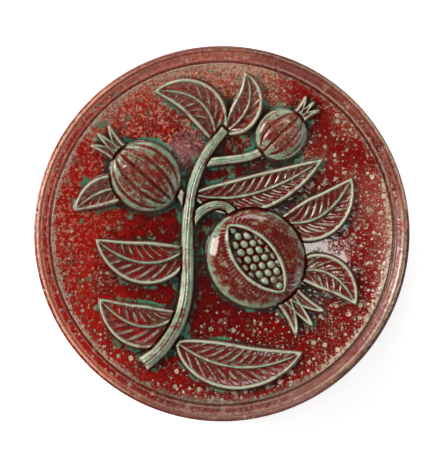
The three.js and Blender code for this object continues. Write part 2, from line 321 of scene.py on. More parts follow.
tear = {
    "halfLength": 40.0, "halfWidth": 19.0, "lipOut": 1.7, "lipHalf": 1.5, "lipRise": 2.2,
    "rounding": 1.8, "roundingWidth": 0.5, "bed": 0.55, "segments": 300,
}
# knife marks round the tear
hatching = {"spacing": 3.4, "depth": 0.8, "width": 0.6, "from": 4.0, "to": 9.5, "waver": 1.2}
seeds = {
    "across": 4.55, "along": 5.0, "rise": 5.4, "spacing": 9.2, "rows": 8.004, "unlike": 0.08, "astray": 0.4,
}


def tearHalfAt(p):
    return tear["halfWidth"] * np.maximum(1 - (p / tear["halfLength"]) ** 2, 0) ** 0.75


def tearOutline(turn):
    p = tear["halfLength"] * np.cos(turn)
    return p, tearHalfAt(p) * np.sign(np.sin(turn))


def huskGrid(fruit):
    turn = fullTurn(tear["segments"])
    innerP, innerQ = tearOutline(turn)
    outerP, outerQ = fruit["radius"] * np.cos(turn), fruit["radius"] * np.sin(turn)
    span = np.hypot(outerP - innerP, outerQ - innerQ)
    lipRows = np.array([-0.9, -0.65, -0.4, -0.18, 0.02, 0.2, 0.45, 0.75, 1.1, 1.5, 1.9, 2.35, 2.85, 3.5, 4.3])
    lastRows = np.array(edgeRows[::-1])
    middle = np.linspace(0, 1, 36)[1:-1, None]
    # measured from the torn edge outward
    fromLip = np.concatenate([
        lipRows[:, None] + 0 * span,
        lipRows[-1] + (span - lipRows[-1] - lastRows[0]) * middle,
        span - lastRows[:, None],
    ])
    p = innerP + (outerP - innerP) / span * fromLip
    q = innerQ + (outerQ - innerQ) / span * fromLip
    toEdge = fruit["radius"] - np.hypot(p, q)
    x, y, rise = fruitSkin(fruit, p, q, toEdge)
    roll = tear["lipRise"] * np.exp(-(((fromLip - tear["lipOut"]) / tear["lipHalf"]) ** 2))
    rounded = tear["rounding"] * np.exp(-np.maximum(fromLip, 0) / tear["roundingWidth"])
    strides = np.hypot(np.diff(innerP, append=innerP[:, :1]), np.diff(innerQ, append=innerQ[:, :1]))
    along = strides.cumsum(axis=1)
    marks = round(float(along[0, -1]) / hatching["spacing"])
    fromMark = (along / along[0, -1] * marks + 0.5) % 1 - 0.5
    cut = hatching["depth"] * np.exp(-((fromMark * hatching["spacing"] / hatching["width"]) ** 2))
    ends = hatching["waver"] * readMap(handMarks, x, y)
    cut = cut * soften(hatching["from"] - 1, hatching["from"], fromLip) * soften(0, 6, toEdge)
    rise = rise - cut * soften(hatching["to"] + 1.5, hatching["to"] - 1.5, fromLip + ends)
    wall = soften(0, -0.85, fromLip)
    bed = tear["bed"] * fruit["height"] - 1.5
    rise = (rise + roll * soften(0, 2.5, toEdge) - rounded) * (1 - wall) + bed * wall
    return x, y, rise


def seedPlaces():
    places = []
    reach = math.ceil(tear["halfLength"] / seeds["spacing"])
    for row in range(-2, 3):
        for place in range(-reach, reach + 1):
            p = (place + (0.5 if row % 2 else 0)) * seeds["spacing"]
            q = row * seeds["rows"]
            if abs(p) < tear["halfLength"] - 3 and tearHalfAt(p) - abs(q) > 2.2:
                places.append((p, q))
    return places


def seedGrid(fruit):
    along = np.linspace(-tear["halfLength"] + 0.4, tear["halfLength"] - 0.4, 190)[:, None]
    across = np.linspace(-1, 1, 96)[None, :]
    p = along + 0 * across
    q = across * np.maximum(tearHalfAt(along) - 0.35, 0.5)
    x, y = onFruit(fruit, p, q)
    rise = np.full(p.shape, tear["bed"] * fruit["height"] - 0.4)
    for place in seedPlaces():
        a, b = (v + dice.uniform(-seeds["astray"], seeds["astray"]) for v in place)
        size = 1 + dice.uniform(-seeds["unlike"], seeds["unlike"])
        far = np.hypot((p - a) / (seeds["along"] * size), (q - b) / (seeds["across"] * size))
        grain = tear["bed"] * fruit["height"] + seeds["rise"] * size * np.sqrt(np.maximum(1 - far**2.2, 0))
        rise = np.where(far < 1, np.maximum(rise, grain), rise)
    return x, y, rise


# Crowns: three pointed sepals with raised edges

sepalLook = {
    "spread": 34,
    "aside": 0.18,  # this and the next four are shares of the crown's size or the fruit's
    "base": 0.92,
    "halfWidth": 0.23,
    "turnAt": 0.55,
    "tip": 0.7,
    "height": 9,
    "droop": 2,
}
sepalEdge = softProfile(
    [(0, 0), (0.4, 0.36), (0.9, 0.72), (1.5, 0.95), (2.1, 1), (2.9, 0.86), (4.2, 0.7), (6, 0.66)], 0.16
)


def sepalGrids(fruit):
    grids = []
    size, outward = fruit["crown"], fruit["crownAt"]
    for spread in (-sepalLook["spread"], sepalLook["spread"], 0):
        aside = np.sign(spread) * size * sepalLook["aside"]
        root = fruit["radius"] * fruitLook["stretch"] * sepalLook["base"]
        base = planPoint(fruit["at"], outward, root, aside)
        middle = planPoint(base, outward, size * 0.5, 0)
        turn = planPoint(base, outward, size * sepalLook["turnAt"], 0)
        tip = planPoint(turn, outward + spread, size * sepalLook["tip"], 0)

        def halfWidth(share):
            return size * sepalLook["halfWidth"] * (1 - share) ** 0.6 + 0.9

        def rise(edge, across, share, length, half):
            height = sepalLook["height"] - sepalLook["droop"] * share
            return height * sepalEdge(edge) * np.minimum(1, 0.4 + half / 3.2)

        grids.append(ribbonGrid([base, middle, tip], halfWidth, rise, 0.8, 16, 0.2))
    return grids


# Stems and branches, scored along their length

bark = {"grooves": (-0.45, 0.05, 0.5), "depth": 0.9, "width": 0.75}

stems = {
    "main_stem": {
        "path": [(-82, -136), (10, -70), (-80, 22), (4, 110)],
        "halfWidths": (8, 5), "heights": (12, 9),
    },
    "branch_to_split_fruit": {
        "path": [(-36, 2), (-26, 34), (8, 40), (14, 16)],
        "halfWidths": (5.4, 5), "heights": (10, 10),
    },
    "branch_to_round_fruit": {
        "path": [(-36, -2), (-32, 28), (-40, 46), (-60, 52)],
        "halfWidths": (5.4, 4.6), "heights": (10, 9),
    },
    "branch_to_small_fruit": {
        "path": [(-20, 74), (4, 80), (32, 74), (50, 94)],
        "halfWidths": (4.8, 4.2), "heights": (10, 9),
    },
}


def stemGrid(stem):
    def halfWidth(share):
        return np.interp(share, [0, 1], stem["halfWidths"])

    def rise(edge, across, share, length, half):
        inward = 1 - np.clip(edge / half, 0, 1)
        height = np.interp(share, [0, 1], stem["heights"])
        wander = 0.1 * np.sin(9 * share + 1) + 0.06 * np.sin(23 * share)  # scored freehand
        place = across / half + wander
        grooves = sum(np.exp(-(((place - line) * half / bark["width"]) ** 2)) for line in bark["grooves"])
        grooves = grooves * bark["depth"] * soften(1.2, 3, edge)
        return height * np.sqrt(np.maximum(1 - inward**2.6, 0)) - 0.5 - grooves

    return ribbonGrid(stem["path"], halfWidth, rise, 1.0, 18)


# Leaves: a raised rim round a sunk blade, a midrib and side veins

leafLook = {
    "height": 9.0,
    "petiole": 4.0,
    "midrib": 3.2,
    "veinSpacing": 11.0,
    "veinSlant": 1.15,
    "vein": 1.7,
}
leafEdge = softProfile([
    (0, 0), (0.4, 0.33), (0.9, 0.64), (1.6, 0.88), (2.5, 1), (3.4, 0.9), (4.6, 0.64), (9, 0.54), (20, 0.5),
], 0.18)

leaves = {
    "leaf_lower_right": {"path": [(-47, -114), (14, -160), (84, -124)], "width": 48},
    "leaf_lower_left": {"path": [(-44, -84), (-84, -118), (-128, -68)], "width": 46},
    "leaf_middle_left": {"path": [(-37, -16), (-80, -50), (-132, -6)], "width": 46},
    "leaf_right": {"path": [(60, 14), (108, 0), (136, 58)], "width": 46},
    "leaf_right_low": {"path": [(74, -42), (118, -26), (140, -74)], "width": 38},
    "leaf_middle_right": {"path": [(-31, 42), (28, 24), (106, 78)], "width": 40},
    "leaf_top": {"path": [(3, 106), (42, 132), (24, 168)], "width": 32},
    "leaf_top_left": {"path": [(-6, 96), (-8, 154), (-70, 148)], "width": 40},
    "leaf_far_left": {"path": [(-92, 46), (-124, 54), (-154, 24)], "width": 32},
}


def leafGrid(leaf):
    def halfWidth(share):
        blade = leaf["width"] / 2 * np.sin(math.pi * share**0.82) ** 0.75
        return np.maximum(blade, leafLook["petiole"] * (1 - share) + 0.5)

    def rise(edge, across, share, length, half):
        off = np.abs(across)
        form = leafEdge(edge)
        midrib = 0.96 * np.exp(-((off / (0.62 * leafLook["midrib"])) ** 2)) * soften(-0.2, 1.5, edge)
        form = np.maximum(form, midrib)
        line = (share * length - leafLook["veinSlant"] * off) / leafLook["veinSpacing"]
        fromVein = np.minimum(line % 1, 1 - line % 1) * leafLook["veinSpacing"] / 1.5
        vein = np.exp(-((fromVein / 0.8) ** 2)) * soften(3.2, 5, edge) * soften(1.6, 3, off) * (line > 0.7)
        arch = 0.55 + 0.45 * np.sin(math.pi * (0.85 * share + 0.12))
        return (form * leafLook["height"] + vein * leafLook["vein"]) * arch

    return ribbonGrid(leaf["path"], halfWidth, rise, 0.95, 30)


# The pieces are laid from the top one down, so that each can dip under those over it

def layRound(grid):
    # a round piece's last column meets its first one
    layOnMap(*(np.concatenate([g, g[:, :1]], axis=1) for g in grid))


grids = {}
grids["split_fruit"] = huskGrid(fruits["split_fruit"])
layRound(grids["split_fruit"])
grids["seed_cluster"] = seedGrid(fruits["split_fruit"])
layOnMap(*grids["seed_cluster"])
for name in ("round_fruit", "small_fruit"):
    grids[name] = domeGrid(fruits[name])
    layRound(grids[name])
crownGrids = {}
for name, fruit in fruits.items():
    crownGrids[name + "_crown"] = [tuckUnder(*sepal) for sepal in sepalGrids(fruit)]
for sepals in crownGrids.values():
    for sepal in sepals:
        layOnMap(*sepal)
for name, stem in stems.items():
    grids[name] = tuckUnder(*stemGrid(stem))
    layOnMap(*grids[name])
for name, leaf in leaves.items():
    grids[name] = tuckUnder(*leafGrid(leaf))
for name in leaves:
    layOnMap(*grids[name])

# Molten glaze runs off the high, sharp places and gathers in the low ones
glazeRun = {
    "surface": 0.7,
    "reach": 2.3,
    "farReach": 7.0,
    "rimSurface": 0.35,
    "rimReach": 1.7,
    "rimFrom": (171, 175.5),
    "back": 0.1,  # the depth on the underside, which starts this far below the face
    "backBelow": 4.5,
}
surface = blurMap(heights, glazeRun["surface"])
glazeDepth = blurMap(heights, glazeRun["reach"]) - surface
farDepth = blurMap(heights, glazeRun["farReach"]) - surface


# Meshes

def addObject(name, data, at=(0, 0, 0)):
    obj = bpy.data.objects.new(name, data)
    obj.location = at
    bpy.context.scene.collection.objects.link(obj)
    return obj


def makeObject(name, points, faces):
    mesh = bpy.data.meshes.new(name)
    mesh.from_pydata((points * mm).tolist(), [], [f for part in faces for f in part])
    mesh.validate()
    mesh.shade_smooth()
    return addObject(name, mesh)


def asPoints(x, y, z):
    return np.stack([x, y, z], axis=-1).reshape(-1, 3)


def onFace(x, y, rise):
    return asPoints(x, y, faceHeight(np.hypot(x, y)) + rise)


def rounds(columns):
    ring = np.arange(columns)
    return ring, (ring + 1) % columns


def wall(columns, low, high):
    # quads between two rings of points, each given by its first point
    ring, step = rounds(columns)
    return np.stack([low + ring, high + ring, high + step, low + step], axis=-1).tolist()


def quads(rows, columns):
    return [face for row in range(rows - 1) for face in wall(columns, row * columns, (row + 1) * columns)]


def fan(columns, start, peak):
    ring, step = rounds(columns)
    return np.stack([start + ring, np.full(columns, peak), start + step], axis=-1).tolist()


def ribbonMesh(grid):
    # each row of the top is closed underneath by two sunk corners, and each end by a cap
    x, y, rise = grid
    rows, columns = x.shape
    under = [np.concatenate([g, g[:, -1:], g[:, :1]], axis=1) for g in (x, y)]
    risen = np.concatenate([rise, np.full((rows, 2), sunk)], axis=1)
    around = columns + 2
    cap = list(range(around))
    last = [(rows - 1) * around + i for i in cap]
    faces = [[face[::-1] for face in quads(rows, around)], [cap], [last[::-1]]]
    return onFace(*under, risen), faces


def domeMesh(grid):
    x, y, rise = (np.concatenate([g[:1], g]) for g in grid)
    rise[0] = sunk
    rows, columns = x.shape
    centre = onFace(*(g[-1:].mean(keepdims=True) for g in (x, y, rise)))
    tip = fan(columns, (rows - 1) * columns, rows * columns)
    lid = list(range(columns))[::-1]
    return np.concatenate([onFace(x, y, rise), centre]), [quads(rows, columns), tip, [lid]]


def ringMesh(grid):
    # walls go down from the first and the last row, and meet underneath
    x, y, rise = (np.concatenate([g[:1], g, g[-1:]]) for g in grid)
    rise[[0, -1]] = sunk
    rows, columns = x.shape
    return onFace(x, y, rise), [quads(rows, columns), wall(columns, (rows - 1) * columns, 0)]


def turned(line, segments):
    # a section turned round the middle
    turn = fullTurn(segments)
    r, z = line[:, :1], line[:, 1:]
    return r * np.cos(turn), r * np.sin(turn), z + 0 * turn


def faceOutward(obj):
    work = bmesh.new()
    work.from_mesh(obj.data)
    bmesh.ops.recalc_face_normals(work, faces=work.faces)
    work.to_mesh(obj.data)
    work.free()


print("meshes: relief")
builders = {"split_fruit": ringMesh, "round_fruit": domeMesh, "small_fruit": domeMesh}
made = {}
for name, grid in grids.items():
    build = builders.get(name, ribbonMesh)
    made[name] = makeObject(name + "_form", *build(grid))


def combine(obj, operation, others):
    for other in others:
        modifier = obj.modifiers.new("combine", "BOOLEAN")
        modifier.operation = operation
        modifier.solver = "EXACT"
        modifier.object = other
    combined = bpy.data.meshes.new_from_object(obj.evaluated_get(bpy.context.evaluated_depsgraph_get()))
    obj.modifiers.clear()
    combined.validate()
    obj.data = combined
    for other in others:
        bpy.data.objects.remove(other)


def joinShells(name, shells):
    parts = [makeObject(f"{name}_form_{i}", *shell) for i, shell in enumerate(shells)]
    for part in parts:
        faceOutward(part)
    whole, *others = parts
    combine(whole, "UNION", others)
    whole.data.shade_smooth()
    whole.name = name + "_form"
    return whole


for name, sepals in crownGrids.items():
    made[name] = joinShells(name, [ribbonMesh(sepal) for sepal in sepals])


# The dish itself: the radius of each turn in the rim, and its rise over the plain rim or None on the face

rimTurning = [
    (176.0, None), (177.2, None), (178.2, -1.6), (179.4, -1.7), (180.3, 0.0), (181.2, 0.8), (182.4, 0.1),
    (186.0, 0.0), (187.6, 1.0), (189.0, 0.7), (189.8, -0.3),
]
# a flatness of 1 makes a round lip
rimCurve = {"step": 0.06, "cornerBlur": 0.3, "lipFlatness": 0.78, "lipHeight": 0.94}


def rimLine():
    points = [(r, faceHeight(r) if rise is None else rimHeight(r) + rise) for r, rise in rimTurning]
    middle = dish["radius"] - dish["lipRadius"]
    flatness = rimCurve["lipFlatness"]
    for degrees in range(140, -25, -15):
        turn = math.radians(degrees)
        aside, above = (math.copysign(abs(v) ** flatness, v) for v in (math.cos(turn), math.sin(turn)))
        points.append((
            middle + dish["lipRadius"] * aside,
            rimHeight(middle) + rimCurve["lipHeight"] * dish["lipRadius"] * above,
        ))
    # under the lip and onto the back
    points += [(dish["radius"] - 0.5, rimHeight(dish["radius"]) - 5.2)]
    points += [(192.4, undersideHeight(190) + 1.6), (187.0, undersideHeight(187))]
    line = np.array(points)
    run = runAlong(line)
    fine = np.arange(0, run[-1], rimCurve["step"])
    weights = bell(rimCurve["cornerBlur"] / rimCurve["step"], 1)
    reach = len(weights) // 2
    smooth = []
    for values in (line[:, 0], line[:, 1]):
        even = np.interp(fine, run, values)
        before = 2 * even[0] - even[reach:0:-1]
        after = 2 * even[-1] - even[-2 : -reach - 2 : -1]
        smooth.append(np.convolve(np.concatenate([before, even, after]), weights, mode="valid"))
    return np.stack(smooth, axis=1)


def dishMesh():
    rim = rimLine()[:: int(dish["rimStep"] / rimCurve["step"])]
    face = np.arange(dish["faceStep"], rim[0, 0] - 0.5 * dish["faceStep"], dish["faceStep"])
    back = np.arange(rim[-1, 0] - dish["backStep"], dish["backStep"] * 0.6, -dish["backStep"])
    line = np.concatenate([
        np.stack([face, faceHeight(face)], axis=1),
        rim,
        np.stack([back, undersideHeight(back)], axis=1),
    ])
    x, y, z = turned(line, dish["segments"])
    r, place = line[:, :1], np.arange(len(line))[:, None]
    x = x + (place < len(face) + int(np.argmax(rim[:, 0]))) * ringsAside(r)
    swell = clayFeel["onDish"] * readMap(handMarks, x, y) + clayFeel["warpOnDish"] * readMap(slowWarp, x, y)
    z = z + np.where(place < len(face), swell * soften(176, 165, r), 0)
    centre = np.array([[0, 0, faceHeight(0)], [0, 0, undersideHeight(0)]])
    rows, columns = x.shape
    top = rows * columns
    ends = [fan(columns, 0, top), fan(columns, top - columns, top + 1)]
    return np.concatenate([asPoints(x, y, z), centre]), [quads(rows, columns), *ends]


print("meshes: dish and foot")
made["dish_body"] = makeObject("dish_body_form", *dishMesh())

# The foot: a turned ring with two holes for a hanging wire

foot = {
    "radius": 117.0,
    "wall": 13.0,
    "bevel": 2.2,
    "holeRadius": 2.2,
    "holeHeight": 7.0,
    "holeAside": 13.0,
    "segments": 288,
}


def footMesh():
    inner, outer = foot["radius"] - foot["wall"] / 2, foot["radius"] + foot["wall"] / 2
    into = 1.0  # the ring's top is luted into the underside
    line = np.array([
        (inner + 0.1, undersideHeight(inner) + into),
        (inner, undersideHeight(inner) - 1.5),
        (inner + 0.4, foot["bevel"]),
        (inner + 1.0, 0.7),
        (inner + foot["bevel"], 0.0),
        (foot["radius"], 0.0),
        (outer - foot["bevel"], 0.0),
        (outer - 1.0, 0.7),
        (outer - 0.4, foot["bevel"]),
        (outer, undersideHeight(outer) - 1.5),
        (outer, undersideHeight(outer) + into),
    ])
    rows, columns = len(line), foot["segments"]
    faces = [quads(rows, columns), wall(columns, (rows - 1) * columns, 0)]
    return asPoints(*turned(line, columns)), faces


footRing = makeObject("foot_ring_form", *footMesh())
faceOutward(footRing)
for side in (-1, 1):
    turn = math.radians(90 + side * foot["holeAside"])
    outward = Vector((math.cos(turn), math.sin(turn), 0))
    middle = outward * foot["radius"] * mm
    middle.z = foot["holeHeight"] * mm
    bpy.ops.mesh.primitive_cylinder_add(
        vertices=32, radius=foot["holeRadius"] * mm, depth=foot["wall"] * 3 * mm, location=middle
    )
    drill = bpy.context.object
    drill.rotation_mode = "QUATERNION"
    drill.rotation_quaternion = Vector((0, 0, 1)).rotation_difference(outward)
    bpy.context.view_layer.update()
    combine(footRing, "DIFFERENCE", [drill])
made["foot_ring"] = footRing


# Glaze depth, which the materials read from every vertex

def carry(obj, name, values):
    obj.data.attributes.new(name, "FLOAT", "POINT").data.foreach_set("value", values.astype(np.float32))


def rimGlaze(surface, reach):
    line = rimLine()
    top = line[: int(np.argmax(line[:, 0]))]
    step = 0.1
    r = np.arange(120, 215, step)
    height = np.interp(r, top[:, 0], top[:, 1], right=top[-1, 1] - 1.5)
    height = np.where(r < top[0, 0], faceHeight(r), height)
    far, near = (np.convolve(height, bell(size, step), mode="same") for size in (reach, surface))
    return r, far - near


def giveGlaze(obj, onDish=False):
    count = len(obj.data.vertices)
    place = np.empty(count * 3)
    obj.data.vertices.foreach_get("co", place)
    x, y, z = place.reshape(-1, 3).T / mm
    depth = readMap(glazeDepth, x, y)
    pool = readMap(farDepth, x, y)
    if onDish:
        r = np.hypot(x - ringsAside(np.hypot(x, y)), y)
        at, rimDepth = rimGlaze(glazeRun["rimSurface"], glazeRun["rimReach"])
        onRim = soften(*glazeRun["rimFrom"], r)
        depth = depth * (1 - onRim) + np.interp(r, at, rimDepth) * onRim
        pool = pool * (1 - onRim)
        below = z < np.where(r > 175, rimHeight(r), faceHeight(r)) - glazeRun["backBelow"]
        depth = np.where(below, glazeRun["back"], depth)
        pool = np.where(below, 0, pool)
    carry(obj, "glazeDepth", depth)
    carry(obj, "glazePool", pool)


for name, obj in made.items():
    if name != "foot_ring":
        giveGlaze(obj, name == "dish_body")


# Materials

def tone(red, green, blue):
    # the colour as a colour picker shows it, from 0 to 255
    shares = [v / 255 for v in (red, green, blue)]
    return (*[v / 12.92 if v <= 0.04045 else ((v + 0.055) / 1.055) ** 2.4 for v in shares], 1)


class Nodes:
    # builds a node tree; a tone or a value that many nodes share goes by its name in maps
    def __init__(self, tree, tones=()):
        self.tree = tree
        self.maps = dict(tones)

    def add(self, kind, inputs=(), **settings):
        node = self.tree.nodes.new("ShaderNode" + kind)
        for key, value in settings.items():
            setattr(node, key, value)
        for key, value in dict(inputs).items():
            self.feed(node.inputs[key], value)
        return node

    def feed(self, socket, value):
        if isinstance(value, str):
            value = self.maps[value]
        if isinstance(value, bpy.types.NodeSocket):
            self.tree.links.new(value, socket)
        else:
            socket.default_value = value

    def calc(self, operation, a, b=0.0):
        return self.add("Math", {0: a, 1: b}, operation=operation).outputs[0]

    def times(self, a, b):
        return self.calc("MULTIPLY", a, b)

    def total(self, *terms, **shared):
        # each term is a value and how much it counts
        result = 0.0
        for value, weight in (*terms, *shared.items()):
            result = self.add("Math", {0: value, 1: weight, 2: result}, operation="MULTIPLY_ADD").outputs[0]
        return result

    def steps(self, value, low, high, start=0.0, end=1.0):
        ranges = {"Value": value, "From Min": low, "From Max": high, "To Min": start, "To Max": end}
        return self.add("MapRange", ranges, interpolation_type="SMOOTHSTEP").outputs[0]

    def mix(self, share, below, above):
        return self.add("Mix", {0: share, 6: below, 7: above}, data_type="RGBA").outputs[2]


class Surface(Nodes):
    def __init__(self, name, tones=()):
        self.material = bpy.data.materials.new(name)
        self.material.use_nodes = True
        super().__init__(self.material.node_tree, tones)
        self.shader = self.tree.nodes["Principled BSDF"]
        self.place = self.add("TexCoord").outputs["Object"]

    def uniform(self, values):
        for key, value in values.items():
            self.shader.inputs[key].default_value = value

    def noise(self, size, detail=3.0, rough=0.55, warp=0.0, seed=0.0):
        # size is in millimetres
        inputs = {"Vector": self.place, "W": seed, "Scale": 1 / (size * mm)}
        inputs.update({"Detail": detail, "Roughness": rough, "Distortion": warp})
        return self.add("TexNoise", inputs, noise_dimensions="4D").outputs["Fac"]

    def swing(self, *settings):
        # noise on both sides of 0
        return self.calc("SUBTRACT", self.noise(*settings), 0.5)

    def bump(self, height):
        bumped = self.add("Bump", {"Strength": 1.0, "Distance": mm, "Height": height})
        self.feed(self.shader.inputs["Normal"], bumped.outputs[0])

    def lay(self, colour, mark, amount, markTone=None, where=None):
        # a mark goes over the colour where the amount is high, in the tone of its own name unless told
        begins, full, plain = glazeMarks[mark]
        share = self.steps(amount, begins, full, 0, plain)
        if where is not None:
            share = self.times(share, where)
        return self.mix(share, colour, markTone or mark)

    def dots(self, cell, smallest, largest, seed):
        # one round dot in each cell, some of them too small to show
        moved = self.add("VectorMath", {0: self.place, 1: (seed, seed * 0.7, 0)}, operation="ADD").outputs[0]
        wobble = self.add("TexNoise", {"Vector": self.place, "Scale": 1 / (2.4 * mm), "Detail": 3.0})
        bent = {0: wobble.outputs["Color"], 1: (2.6 * mm, 2.6 * mm, 0), 2: moved}
        moved = self.add("VectorMath", bent, operation="MULTIPLY_ADD").outputs[0]
        cells = self.add("TexVoronoi", {"Vector": moved, "Scale": 1 / (cell * mm)}, voronoi_dimensions="2D")
        chance, kind, _ = self.add("SeparateXYZ", {0: cells.outputs["Color"]}).outputs
        size = self.total((self.calc("POWER", chance, 2.5), (largest - smallest) / cell))
        size = self.calc("ADD", size, smallest / cell)
        far = self.calc("SUBTRACT", cells.outputs["Distance"], size)
        fromMiddle = self.add("VectorMath", {0: moved, 1: cells.outputs["Position"]}, operation="SUBTRACT")
        towardShade = {0: fromMiddle.outputs[0], 1: (-800, 600, 0)}
        shaded = self.add("VectorMath", towardShade, operation="DOT_PRODUCT").outputs["Value"]
        return far, kind, shaded


glazeTones = {
    "red": tone(138, 12, 9),
    "brightRed": tone(188, 26, 15),
    "deepRed": tone(86, 7, 7),
    "mottle": tone(74, 16, 12),
    "haze": tone(196, 94, 76),
    "dust": tone(192, 130, 108),
    "mossDust": tone(132, 98, 72),
    "paleGrit": tone(248, 158, 130),
    "speck": tone(242, 204, 184),
    "greenSpeck": tone(182, 178, 146),
    "speckRim": tone(56, 12, 10),
    "patina": tone(104, 122, 94),
    "turquoise": tone(80, 156, 126),
    # dark of pooled glaze, and painted shade in the hollows and creases
    "hollow": tone(44, 56, 48),
    "crease": tone(52, 28, 26),
    "mud": tone(104, 44, 34),
    "broken": tone(130, 70, 56),
    "celadon": tone(162, 172, 144),
    "greenPale": tone(124, 170, 142),
    "cream": tone(216, 214, 190),
    "fringe": tone(210, 189, 164),
    "frost": tone(206, 182, 160),
    "dullFringe": tone(112, 106, 86),
    "rimPink": tone(178, 118, 106),
    "rimRose": tone(230, 132, 106),
    "rimCream": tone(198, 174, 150),
    "rimGroove": tone(92, 34, 30),
    # the next tone is painted shade: on the lip's outer side, in the groove on the right, at the rim's bottom
    # and in its deep grooves
    "rimShade": tone(84, 52, 42),
    # the lip's peach line: a painted highlight
    "rimLine": tone(240, 184, 156),
}

glazeLook = {
    "roughness": 0.07,
    "refraction": 1.56,
    "orangePeel": 0.035,  # heights, in millimetres
    "ripple": 0.16,
    "crater": 0.22,
    "dimple": 0.16,
}

# For each mark in the glaze: the amounts at which it begins and is full, and how plain it is then
glazeMarks = {
    "red": (-0.67, -0.3, 1.0),
    "deepRed": (-0.34, -0.02, 0.9),
    "mottle": (0.54, 0.72, 0.7),
    "streaks": (0.5, 0.68, 0.45),
    "haze": (160, 238, 0.6),
    "dust": (0.84, 0.96, 0.48),
    "stipple": (3.26, 3.56, 0.7),
    "darkGrit": (0.43, 0.36, 0.35),
    "paleGrit": (0.52, 0.6, 0.78),
    "swirl": (0.84, 0.96, 0.6),
    "patina": (0.67, 0.74, 0.8),
    "turquoise": (0.71, 0.8, 0.9),
    "hollow": (1.9, 3.3, 0.85),
    "besideRelief": (0.25, 0.8, 0.85),
    "crease": (0.9, 1.7, 0.9),
    "broken": (0.1, 0.34, 0.85),
    "pale": (0.3, 0.66, 1.0),
    "cream": (0.85, 1.75, 0.9),
    "worn": (0.52, 0.66, 0.7),
    "pinkTop": (110, 180, 0.5),
    "dimBottom": (-120, -185, 0.45),
    "rimStreaks": (0.34, 0.5, 0.4),
    "rimGrit": (0.46, 0.38, 0.4),
    "sunken": (0.2, 0.6, 0.75),
    "dustyTop": (70, 170, 0.45),
    "dullFringe": (-125, -165, 0.95),
}


def shareMaps(s):
    # what the marks go by: the place on the dish in millimetres, the glaze's depth, and noises
    flat = s.add("VectorMath", {0: s.place, 1: (1 / mm, 1 / mm, 0)}, operation="MULTIPLY").outputs[0]
    s.maps["across"], s.maps["upward"], _ = s.add("SeparateXYZ", {0: flat}).outputs
    s.maps.update(
        radius=s.add("VectorMath", {0: flat}, operation="LENGTH").outputs["Value"],
        depth=s.add("Attribute", attribute_name="glazeDepth").outputs["Fac"],
        pool=s.add("Attribute", attribute_name="glazePool").outputs["Fac"],
        fine=s.swing(2.2, 4, 0.65, 0.4),
        middling=s.swing(8, 4, 0.6, 0.6, 3),
        broad=s.swing(38, 3, 0.5, 0.3, 5),
        grain=s.noise(2.1, 3, 0.6, 0.2, 14),
        grit=s.noise(3.0, 3, 0.65, 0.3, 71),
        top=s.steps("upward", 140, 180),
        bottom=s.steps("upward", -140, -185),
    )
    s.maps["onRim"] = s.steps("radius", 176.8, 177.6)
    s.maps["upperRight"] = s.steps(s.total(across=1, upward=1, radius=-0.35, broad=40), 130, 172)


def fieldColour(s):
    # reds from bright to deep, with a mottle and streaks; the red is brighter towards the left, a painted
    # light from the lamps on that side
    warmthAndLitLeft = s.total(broad=0.9, middling=0.3, across=0.003, radius=-0.0016, upward=-0.0008)
    colour = s.lay("brightRed", "red", warmthAndLitLeft)
    colour = s.lay(colour, "deepRed", s.total(middling=1, broad=0.6, radius=-0.0018, across=0.0004))
    mottled = s.total((s.noise(5.5, 5, 0.62, 0.8, 9), 1), pool=0.09, across=0.0004)
    colour = s.lay(colour, "mottle", mottled)
    colour = s.lay(colour, "streaks", s.noise(4.5, 5, 0.7, 1.4, 91), "deepRed")

    # towards the rim the red bleaches to a milky pink, and then to a stipple of beige
    edgeward = s.total(radius=1, broad=170, middling=80, across=0.26, upward=0.46, upperRight=-72)
    colour = s.lay(colour, "haze", edgeward)
    crowding = s.total(radius=0.0034, broad=1.1, middling=0.7, across=0.001, upward=-0.0003)
    dust = s.mix(s.steps("upward", -110, 40), "mossDust", "dust")
    colour = s.lay(colour, "dust", s.total((crowding, 0.42), grain=1), dust)
    stippled = s.total(
        grain=2.4, radius=0.0105, middling=0.9, broad=0.8, across=0.0014, upward=0.003, upperRight=-0.4
    )
    colour = s.lay(colour, "stipple", stippled, "fringe", s.steps("radius", 178, 177))

    # a fine grit of pale and dark grains, thickest towards the top
    gritty = s.total(broad=0.9, middling=0.6, radius=0.004, across=-0.0012, upward=0.0034, upperRight=-0.7)
    gritty = s.steps(gritty, 0.48, 0.92)
    colour = s.lay(colour, "darkGrit", "grit", "mottle", gritty)
    grains = s.mix(s.steps("middling", -0.14, -0.02), "greenSpeck", "paleGrit")
    colour = s.lay(colour, "paleGrit", "grit", grains, gritty)
    swirl = s.total((s.noise(6, 4, 0.6, 1.8, 61), 1), radius=0.0016, upperRight=-0.08, broad=0.5)
    return s.lay(colour, "swirl", swirl, "haze")


# Burst bubbles: pale flecks in dark rings, in three sizes; cells and radii are in millimetres
flecks = [
    {"cell": 12.0, "radii": (0.6, 2.6), "seed": 0.31, "from": 0.34, "plain": 0.9, "deep": 1.0},
    {"cell": 6.2, "radii": (0.2, 1.6), "seed": 0.77, "from": 0.38, "plain": 0.85, "deep": 0.6},
    {"cell": 3.4, "radii": (0.1, 0.85), "seed": 1.43, "from": 0.56, "plain": 0.6, "deep": 0.3},
]


